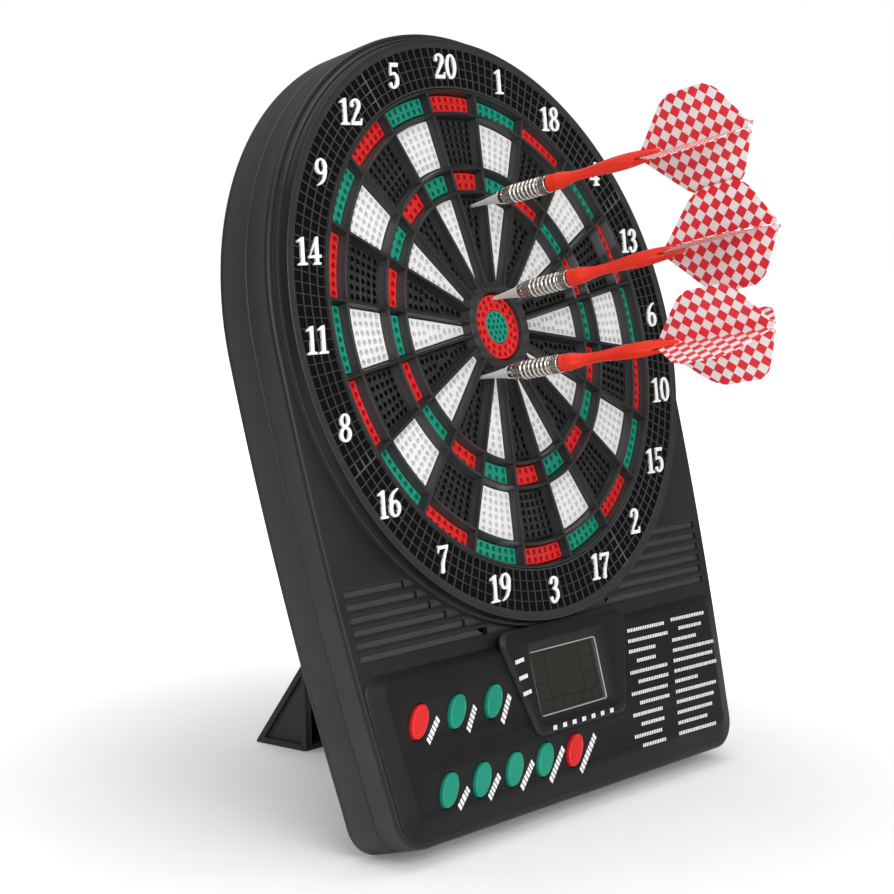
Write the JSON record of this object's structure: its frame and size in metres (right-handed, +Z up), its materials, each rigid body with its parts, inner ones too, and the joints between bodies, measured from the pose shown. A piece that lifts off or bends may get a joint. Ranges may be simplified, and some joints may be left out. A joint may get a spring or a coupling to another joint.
{
  "type": "electronic dartboard",
  "caption": "Small electronic dartboard for soft-tip darts, leaning back on a folding rear leg, with darts in its face.",
  "frame": {"origin": "middle of the object's footprint, at ground level", "axes": "+Z up, -Y the way the target faces, +X to the viewer's right; the board leans back by 15 degrees"},
  "size_m": [0.2706, 0.3066, 0.3397],
  "materials": {
    "case": "satin black, faintly textured",
    "web": "satin black",
    "ring": "fine raised grid",
    "pad_black": "satin",
    "pad_white": "satin",
    "red": "semi-gloss",
    "teal": "semi-gloss",
    "rubber": "matt",
    "circuit": "solder mask",
    "lens": "clear and polished",
    "lcd": "olive grey display",
    "steel": "plain",
    "nickel": "plated and grooved",
    "shaft_orange": "glossy",
    "tip": "soft white plastic",
    "flight": "small red and white checks",
    "battery": "printed sleeve"
  },
  "bodies": {
    "board": {"front_shell": "case", "rear_shell": "case", "spider": "web", "number_ring": "ring", "sensor_mat": "rubber", "lcd_bezel": "case", "lcd_lens": "lens", "lcd_module": "lcd", "button_pad": "rubber", "main_board": "circuit", "speaker": "steel", "battery_1": "battery", "battery_2": "battery", "leg_bracket": "case", "stand_pin": "steel", "rubber_foot": "rubber"},
    "segment_20": {"segment_20": "pad_black"},
    "segment_1": {"segment_1": "pad_white"},
    "segment_18": {"segment_18": "pad_black"},
    "segment_4": {"segment_4": "pad_white"},
    "segment_13": {"segment_13": "pad_black"},
    "segment_6": {"segment_6": "pad_white"},
    "segment_10": {"segment_10": "pad_black"},
    "segment_15": {"segment_15": "pad_white"},
    "segment_2": {"segment_2": "pad_black"},
    "segment_17": {"segment_17": "pad_white"},
    "segment_3": {"segment_3": "pad_black"},
    "segment_19": {"segment_19": "pad_white"},
    "segment_7": {"segment_7": "pad_black"},
    "segment_16": {"segment_16": "pad_white"},
    "segment_8": {"segment_8": "pad_black"},
    "segment_11": {"segment_11": "pad_white"},
    "segment_14": {"segment_14": "pad_black"},
    "segment_9": {"segment_9": "pad_white"},
    "segment_12": {"segment_12": "pad_black"},
    "segment_5": {"segment_5": "pad_white"},
    "bull_outer": {"bull_outer": "red"},
    "bull_inner": {"bull_inner": "teal"},
    "button_power": {"button_power": "red"},
    "button_sound": {"button_sound": "teal"},
    "button_double": {"button_double": "teal"},
    "button_game": {"button_game": "teal"},
    "button_option": {"button_option": "teal"},
    "button_player": {"button_player": "teal"},
    "button_eliminate": {"button_eliminate": "teal"},
    "button_start": {"button_start": "red"},
    "battery_door": {"battery_door": "case"},
    "stand_leg": {"stand_leg": "case"},
    "dart_1": {"dart_1_tip": "tip", "dart_1_barrel": "nickel", "dart_1_shaft": "shaft_orange", "dart_1_flight": "flight"},
    "dart_2": {"dart_2_tip": "tip", "dart_2_barrel": "nickel", "dart_2_shaft": "shaft_orange", "dart_2_flight": "flight"},
    "dart_3": {"dart_3_tip": "tip", "dart_3_barrel": "nickel", "dart_3_shaft": "shaft_orange", "dart_3_flight": "flight"}
  },
  "joints": [
    {"name": "segment_20_press", "type": "slide", "parent": "board", "child": "segment_20", "axis": [0, 0.9659, -0.2588], "range_m": [0, 0.0008], "stiffness_N_per_m": 400, "springref_m": -0.001},
    {"name": "segment_1_press", "type": "slide", "parent": "board", "child": "segment_1", "axis": [0, 0.9659, -0.2588], "range_m": [0, 0.0008], "stiffness_N_per_m": 400, "springref_m": -0.001},
    {"name": "segment_18_press", "type": "slide", "parent": "board", "child": "segment_18", "axis": [0, 0.9659, -0.2588], "range_m": [0, 0.0008], "stiffness_N_per_m": 400, "springref_m": -0.001},
    {"name": "segment_4_press", "type": "slide", "parent": "board", "child": "segment_4", "axis": [0, 0.9659, -0.2588], "range_m": [0, 0.0008], "stiffness_N_per_m": 400, "springref_m": -0.001},
    {"name": "segment_13_press", "type": "slide", "parent": "board", "child": "segment_13", "axis": [0, 0.9659, -0.2588], "range_m": [0, 0.0008], "stiffness_N_per_m": 400, "springref_m": -0.001},
    {"name": "segment_6_press", "type": "slide", "parent": "board", "child": "segment_6", "axis": [0, 0.9659, -0.2588], "range_m": [0, 0.0008], "stiffness_N_per_m": 400, "springref_m": -0.001},
    {"name": "segment_10_press", "type": "slide", "parent": "board", "child": "segment_10", "axis": [0, 0.9659, -0.2588], "range_m": [0, 0.0008], "stiffness_N_per_m": 400, "springref_m": -0.001},
    {"name": "segment_15_press", "type": "slide", "parent": "board", "child": "segment_15", "axis": [0, 0.9659, -0.2588], "range_m": [0, 0.0008], "stiffness_N_per_m": 400, "springref_m": -0.001},
    {"name": "segment_2_press", "type": "slide", "parent": "board", "child": "segment_2", "axis": [0, 0.9659, -0.2588], "range_m": [0, 0.0008], "stiffness_N_per_m": 400, "springref_m": -0.001},
    {"name": "segment_17_press", "type": "slide", "parent": "board", "child": "segment_17", "axis": [0, 0.9659, -0.2588], "range_m": [0, 0.0008], "stiffness_N_per_m": 400, "springref_m": -0.001},
    {"name": "segment_3_press", "type": "slide", "parent": "board", "child": "segment_3", "axis": [0, 0.9659, -0.2588], "range_m": [0, 0.0008], "stiffness_N_per_m": 400, "springref_m": -0.001},
    {"name": "segment_19_press", "type": "slide", "parent": "board", "child": "segment_19", "axis": [0, 0.9659, -0.2588], "range_m": [0, 0.0008], "stiffness_N_per_m": 400, "springref_m": -0.001},
    {"name": "segment_7_press", "type": "slide", "parent": "board", "child": "segment_7", "axis": [0, 0.9659, -0.2588], "range_m": [0, 0.0008], "stiffness_N_per_m": 400, "springref_m": -0.001},
    {"name": "segment_16_press", "type": "slide", "parent": "board", "child": "segment_16", "axis": [0, 0.9659, -0.2588], "range_m": [0, 0.0008], "stiffness_N_per_m": 400, "springref_m": -0.001},
    {"name": "segment_8_press", "type": "slide", "parent": "board", "child": "segment_8", "axis": [0, 0.9659, -0.2588], "range_m": [0, 0.0008], "stiffness_N_per_m": 400, "springref_m": -0.001},
    {"name": "segment_11_press", "type": "slide", "parent": "board", "child": "segment_11", "axis": [0, 0.9659, -0.2588], "range_m": [0, 0.0008], "stiffness_N_per_m": 400, "springref_m": -0.001},
    {"name": "segment_14_press", "type": "slide", "parent": "board", "child": "segment_14", "axis": [0, 0.9659, -0.2588], "range_m": [0, 0.0008], "stiffness_N_per_m": 400, "springref_m": -0.001},
    {"name": "segment_9_press", "type": "slide", "parent": "board", "child": "segment_9", "axis": [0, 0.9659, -0.2588], "range_m": [0, 0.0008], "stiffness_N_per_m": 400, "springref_m": -0.001},
    {"name": "segment_12_press", "type": "slide", "parent": "board", "child": "segment_12", "axis": [0, 0.9659, -0.2588], "range_m": [0, 0.0008], "stiffness_N_per_m": 400, "springref_m": -0.001},
    {"name": "segment_5_press", "type": "slide", "parent": "board", "child": "segment_5", "axis": [0, 0.9659, -0.2588], "range_m": [0, 0.0008], "stiffness_N_per_m": 400, "springref_m": -0.001},
    {"name": "bull_outer_press", "type": "slide", "parent": "board", "child": "bull_outer", "axis": [0, 0.9659, -0.2588], "range_m": [0, 0.0008], "stiffness_N_per_m": 400, "springref_m": -0.001},
    {"name": "bull_inner_press", "type": "slide", "parent": "board", "child": "bull_inner", "axis": [0, 0.9659, -0.2588], "range_m": [0, 0.0008], "stiffness_N_per_m": 400, "springref_m": -0.001},
    {"name": "button_power_press", "type": "slide", "parent": "board", "child": "button_power", "axis": [0, 0.9659, -0.2588], "range_m": [0, 0.0012], "stiffness_N_per_m": 500, "springref_m": -0.001},
    {"name": "button_sound_press", "type": "slide", "parent": "board", "child": "button_sound", "axis": [0, 0.9659, -0.2588], "range_m": [0, 0.0012], "stiffness_N_per_m": 500, "springref_m": -0.001},
    {"name": "button_double_press", "type": "slide", "parent": "board", "child": "button_double", "axis": [0, 0.9659, -0.2588], "range_m": [0, 0.0012], "stiffness_N_per_m": 500, "springref_m": -0.001},
    {"name": "button_game_press", "type": "slide", "parent": "board", "child": "button_game", "axis": [0, 0.9659, -0.2588], "range_m": [0, 0.0012], "stiffness_N_per_m": 500, "springref_m": -0.001},
    {"name": "button_option_press", "type": "slide", "parent": "board", "child": "button_option", "axis": [0, 0.9659, -0.2588], "range_m": [0, 0.0012], "stiffness_N_per_m": 500, "springref_m": -0.001},
    {"name": "button_player_press", "type": "slide", "parent": "board", "child": "button_player", "axis": [0, 0.9659, -0.2588], "range_m": [0, 0.0012], "stiffness_N_per_m": 500, "springref_m": -0.001},
    {"name": "button_eliminate_press", "type": "slide", "parent": "board", "child": "button_eliminate", "axis": [0, 0.9659, -0.2588], "range_m": [0, 0.0012], "stiffness_N_per_m": 500, "springref_m": -0.001},
    {"name": "button_start_press", "type": "slide", "parent": "board", "child": "button_start", "axis": [0, 0.9659, -0.2588], "range_m": [0, 0.0012], "stiffness_N_per_m": 500, "springref_m": -0.001},
    {"name": "battery_door_slide", "type": "slide", "parent": "board", "child": "battery_door", "axis": [0, 0.2588, 0.9659], "range_m": [0, 0.005]},
    {"name": "stand_leg_fold", "type": "hinge", "parent": "board", "child": "stand_leg", "pos_m": [0.016, 0.06704, 0.30338], "axis": [-1, 0, 0], "range_deg": [0, 24]},
    {"name": "dart_1_slide", "type": "slide", "parent": "board", "child": "dart_1", "axis": [-0.052, -0.9761, 0.2108], "range_m": [0, 0.03]},
    {"name": "dart_2_slide", "type": "slide", "parent": "board", "child": "dart_2", "axis": [-0.016, -0.974, 0.2258], "range_m": [0, 0.03]},
    {"name": "dart_3_slide", "type": "slide", "parent": "board", "child": "dart_3", "axis": [-0.015, -0.9831, 0.1827], "range_m": [0, 0.03]}
  ]
}
